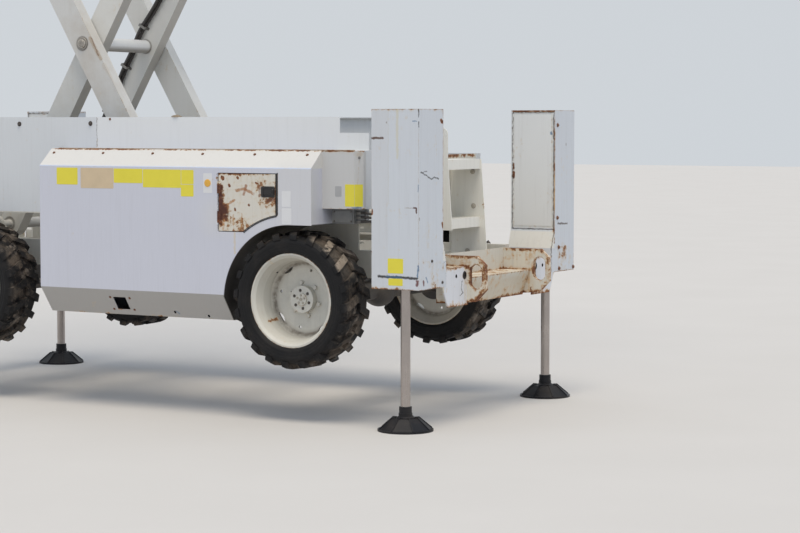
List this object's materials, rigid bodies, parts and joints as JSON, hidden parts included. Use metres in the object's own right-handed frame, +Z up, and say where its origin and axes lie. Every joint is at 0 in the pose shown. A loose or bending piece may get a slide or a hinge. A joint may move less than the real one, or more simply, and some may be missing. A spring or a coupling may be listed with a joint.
{
  "type": "rough-terrain scissor lift",
  "caption": "Rough-terrain scissor lift, raised on a stack of crossed arms above a wheeled chassis, standing on its outriggers.",
  "frame": {"origin": "on the floor, below the middle of the machine's footprint", "axes": "+X to the ladder end, -Y to the near side with the control hatch, +Z up"},
  "size_m": [5.16, 2.4598, 13.4742],
  "materials": {
    "machine_paint": "satin off-white paint, chipped and rusty at the edges",
    "arm_paint": "satin off-white paint with rusty scuffs",
    "cover_paint": "satin off-white paint, rust at the edges",
    "worn_paint": "off-white paint, heavily rusted",
    "deck_paint": "satin off-white paint",
    "rail_paint": "satin off-white paint",
    "rim_paint": "cream paint, dusty",
    "axle_iron": "dark paint, oily",
    "rod_chrome": "polished",
    "pin_steel": "worn steel",
    "barrel_paint": "dark satin paint",
    "pad_paint": "dark, scuffed",
    "tyre": "black rubber, dusty brown",
    "engine_mass": "dark",
    "valve_grey": "grey paint",
    "control_grey": "dark plastic"
  },
  "bodies": {
    "chassis": {"chassis_frame": "machine_paint", "side_wall_far": "cover_paint", "side_wall_near": "cover_paint", "side_cover_far": "cover_paint", "side_cover_near": "cover_paint", "engine_block": "engine_mass", "valve_box": "valve_grey", "ladder": "machine_paint", "end_frame_ladder": "machine_paint", "end_frame_steer": "machine_paint", "outrigger_posts_ladder": "machine_paint", "outrigger_posts_steer": "machine_paint", "fixed_axle": "axle_iron", "steer_axle": "axle_iron"},
    "hatch": {"control_hatch": "worn_paint"},
    "knuckle_near": {"knuckle_near": "axle_iron"},
    "knuckle_far": {"knuckle_far": "axle_iron"},
    "steer_rod": {"steer_rod": "pin_steel"},
    "wheel_ladder_far": {"rim_ladder_far": "rim_paint", "tyre_ladder_far": "tyre"},
    "leg_ladder_far": {"leg_rod_ladder_far": "rod_chrome", "leg_pad_ladder_far": "pad_paint"},
    "wheel_ladder_near": {"rim_ladder_near": "rim_paint", "tyre_ladder_near": "tyre"},
    "leg_ladder_near": {"leg_rod_ladder_near": "rod_chrome", "leg_pad_ladder_near": "pad_paint"},
    "wheel_steer_far": {"rim_steer_far": "rim_paint", "tyre_steer_far": "tyre"},
    "leg_steer_far": {"leg_rod_steer_far": "rod_chrome", "leg_pad_steer_far": "pad_paint"},
    "wheel_steer_near": {"rim_steer_near": "rim_paint", "tyre_steer_near": "tyre"},
    "leg_steer_near": {"leg_rod_steer_near": "rod_chrome", "leg_pad_steer_near": "pad_paint"},
    "inner_1": {"inner_arms_1": "arm_paint"},
    "outer_1": {"outer_arms_1": "arm_paint"},
    "inner_2": {"inner_arms_2": "arm_paint"},
    "outer_2": {"outer_arms_2": "arm_paint"},
    "inner_3": {"inner_arms_3": "arm_paint"},
    "outer_3": {"outer_arms_3": "arm_paint"},
    "inner_4": {"inner_arms_4": "arm_paint"},
    "outer_4": {"outer_arms_4": "arm_paint"},
    "barrel_1": {"lift_barrel_1": "barrel_paint"},
    "rod_1": {"lift_rod_1": "rod_chrome"},
    "barrel_2": {"lift_barrel_2": "barrel_paint"},
    "rod_2": {"lift_rod_2": "rod_chrome"},
    "lower_slider": {"lower_slider": "pin_steel"},
    "upper_slider": {"upper_slider": "pin_steel"},
    "platform": {"deck": "deck_paint", "main_rails": "rail_paint"},
    "gate": {"gate": "rail_paint"},
    "extension": {"extension_deck": "deck_paint", "control_box": "control_grey"}
  },
  "joints": [
    {"name": "lift", "type": "hinge", "parent": "chassis", "child": "inner_1", "pos_m": [-1.613, 0, 1.25], "axis": [0, -1, 0], "range_deg": [-55.6, 5.2]},
    {"name": "outer_1_swing", "type": "hinge", "parent": "inner_1", "child": "outer_1", "pos_m": [-0.80481, 0, 2.61115], "axis": [0, -1, 0], "range_deg": [-10.5, 111.3]},
    {"name": "inner_2_swing", "type": "hinge", "parent": "outer_1", "child": "inner_2", "pos_m": [-1.613, 0, 3.97229], "axis": [0, -1, 0], "range_deg": [-111.3, 10.5]},
    {"name": "outer_2_swing", "type": "hinge", "parent": "inner_2", "child": "outer_2", "pos_m": [-0.80481, 0, 5.33344], "axis": [0, -1, 0], "range_deg": [-10.5, 111.3]},
    {"name": "inner_3_swing", "type": "hinge", "parent": "outer_2", "child": "inner_3", "pos_m": [-1.613, 0, 6.69459], "axis": [0, -1, 0], "range_deg": [-111.3, 10.5]},
    {"name": "outer_3_swing", "type": "hinge", "parent": "inner_3", "child": "outer_3", "pos_m": [-0.80481, 0, 8.05573], "axis": [0, -1, 0], "range_deg": [-10.5, 111.3]},
    {"name": "inner_4_swing", "type": "hinge", "parent": "outer_3", "child": "inner_4", "pos_m": [-1.613, 0, 9.41688], "axis": [0, -1, 0], "range_deg": [-111.3, 10.5]},
    {"name": "outer_4_swing", "type": "hinge", "parent": "inner_4", "child": "outer_4", "pos_m": [-0.80481, 0, 10.77802], "axis": [0, -1, 0], "range_deg": [-10.5, 111.3]},
    {"name": "platform_level", "type": "hinge", "parent": "outer_4", "child": "platform", "pos_m": [-1.613, 0, 12.13917], "axis": [0, -1, 0], "range_deg": [-55.7, 5.3]},
    {"name": "lower_slider_level", "type": "hinge", "parent": "outer_1", "child": "lower_slider", "pos_m": [0.00338, 0, 1.25], "axis": [0, -1, 0], "range_deg": [-55.7, 5.3]},
    {"name": "upper_slider_level", "type": "hinge", "parent": "inner_4", "child": "upper_slider", "pos_m": [0.00338, 0, 12.13917], "axis": [0, -1, 0], "range_deg": [-5.3, 55.7]},
    {"name": "barrel_1_swing", "type": "hinge", "parent": "inner_1", "child": "barrel_1", "pos_m": [-0.06144, 0, 3.71622], "axis": [0, -1, 0], "range_deg": [-10.41, 110.32]},
    {"name": "rod_1_slide", "type": "slide", "parent": "barrel_1", "child": "rod_1", "axis": [-0.376, 0, 0.9266], "range_m": [-0.7234, 0.0686]},
    {"name": "barrel_2_swing", "type": "hinge", "parent": "inner_2", "child": "barrel_2", "pos_m": [-0.06144, 0, 6.43851], "axis": [0, -1, 0], "range_deg": [-10.41, 110.32]},
    {"name": "rod_2_slide", "type": "slide", "parent": "barrel_2", "child": "rod_2", "axis": [-0.376, 0, 0.9266], "range_m": [-0.7234, 0.0686]},
    {"name": "steer", "type": "hinge", "parent": "chassis", "child": "knuckle_near", "pos_m": [-1.42, -0.75, 0.829], "axis": [0, 0, 1], "range_deg": [-25, 25]},
    {"name": "steer_far", "type": "hinge", "parent": "chassis", "child": "knuckle_far", "pos_m": [-1.42, 0.75, 0.829], "axis": [0, 0, 1], "range_deg": [-25.1, 25.1]},
    {"name": "steer_rod_slide", "type": "slide", "parent": "chassis", "child": "steer_rod", "axis": [0, 1, 0], "range_m": [-0.0725, 0.0725]},
    {"name": "wheel_ladder_far_spin", "type": "hinge", "parent": "chassis", "child": "wheel_ladder_far", "pos_m": [1.42, 0.978, 0.829], "axis": [0, 1, 0], "continuous": true},
    {"name": "leg_ladder_far_slide", "type": "slide", "parent": "chassis", "child": "leg_ladder_far", "axis": [0, 0, 1], "range_m": [-0.05, 0.7]},
    {"name": "wheel_ladder_near_spin", "type": "hinge", "parent": "chassis", "child": "wheel_ladder_near", "pos_m": [1.42, -0.978, 0.829], "axis": [0, 1, 0], "continuous": true},
    {"name": "leg_ladder_near_slide", "type": "slide", "parent": "chassis", "child": "leg_ladder_near", "axis": [0, 0, 1], "range_m": [-0.05, 0.7]},
    {"name": "wheel_steer_far_spin", "type": "hinge", "parent": "knuckle_far", "child": "wheel_steer_far", "pos_m": [-1.42, 0.978, 0.829], "axis": [0, 1, 0], "continuous": true},
    {"name": "leg_steer_far_slide", "type": "slide", "parent": "chassis", "child": "leg_steer_far", "axis": [0, 0, 1], "range_m": [-0.05, 0.7]},
    {"name": "wheel_steer_near_spin", "type": "hinge", "parent": "knuckle_near", "child": "wheel_steer_near", "pos_m": [-1.42, -0.978, 0.829], "axis": [0, 1, 0], "continuous": true},
    {"name": "leg_steer_near_slide", "type": "slide", "parent": "chassis", "child": "leg_steer_near", "axis": [0, 0, 1], "range_m": [-0.05, 0.7]},
    {"name": "hatch_swing", "type": "hinge", "parent": "chassis", "child": "hatch", "pos_m": [0.849, -1.1443, 1.48], "axis": [0, 0, -1], "range_deg": [0, 110]},
    {"name": "gate_swing", "type": "hinge", "parent": "platform", "child": "gate", "pos_m": [1.9417, -0.317, 12.9742], "axis": [0, 0, 1], "range_deg": [0, 95]},
    {"name": "extension_slide", "type": "slide", "parent": "platform", "child": "extension", "axis": [-1, 0, 0], "range_m": [0, 1.52]}
  ],
  "couplings": [
    {"joint": "outer_1_swing", "follows": "lift", "ratio": -2},
    {"joint": "inner_2_swing", "follows": "lift", "ratio": 2},
    {"joint": "outer_2_swing", "follows": "lift", "ratio": -2},
    {"joint": "inner_3_swing", "follows": "lift", "ratio": 2},
    {"joint": "outer_3_swing", "follows": "lift", "ratio": -2},
    {"joint": "inner_4_swing", "follows": "lift", "ratio": 2},
    {"joint": "outer_4_swing", "follows": "lift", "ratio": -2},
    {"joint": "platform_level", "follows": "lift", "ratio": 1},
    {"joint": "lower_slider_level", "follows": "lift", "ratio": 1},
    {"joint": "upper_slider_level", "follows": "lift", "ratio": -1},
    {"joint": "barrel_1_swing", "follows": "lift", "ratio": -1.9824},
    {"joint": "rod_1_slide", "follows": "lift", "m_per_rad": 0.74446},
    {"joint": "barrel_2_swing", "follows": "lift", "ratio": -1.9824},
    {"joint": "rod_2_slide", "follows": "lift", "m_per_rad": 0.74446},
    {"joint": "steer_far", "follows": "steer", "ratio": 1},
    {"joint": "steer_rod_slide", "follows": "steer", "m_per_rad": 0.165}
  ]
}
